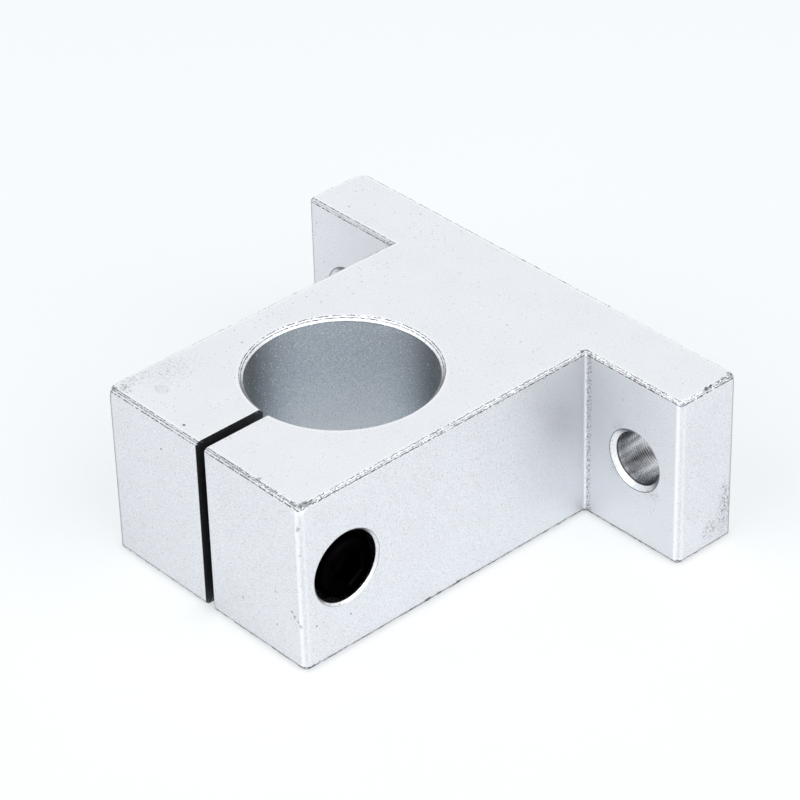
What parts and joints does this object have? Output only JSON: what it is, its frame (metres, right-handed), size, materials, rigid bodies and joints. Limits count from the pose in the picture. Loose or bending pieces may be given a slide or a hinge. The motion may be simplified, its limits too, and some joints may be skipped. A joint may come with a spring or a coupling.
{
  "type": "shaft support block",
  "caption": "T-shaped block that holds a round shaft in a split bore, closed by a socket head cap screw sunk in its side, and bolts to a machine through its flange.",
  "frame": {"origin": "centre of the shaft bore, halfway between the sawn faces", "axes": "+Z along the shaft bore, with the block lying on its lower sawn face; +Y out of the mounting face; +X towards the side where the clamp screw goes in"},
  "size_m": [0.084, 0.07, 0.03],
  "materials": {
    "blasted_aluminium": "bead blasted and clear anodised, matt",
    "black_screw_steel": "black oxide, lightly oiled"
  },
  "bodies": {
    "block": {"clamp_block": "blasted_aluminium"},
    "screw": {"clamp_screw": "black_screw_steel"}
  },
  "joints": [
    {"name": "clamp_screw_turn", "type": "hinge", "parent": "block", "child": "screw", "pos_m": [0, -0.0193, 0], "axis": [1, 0, 0], "range_deg": [-90, 360]}
  ]
}
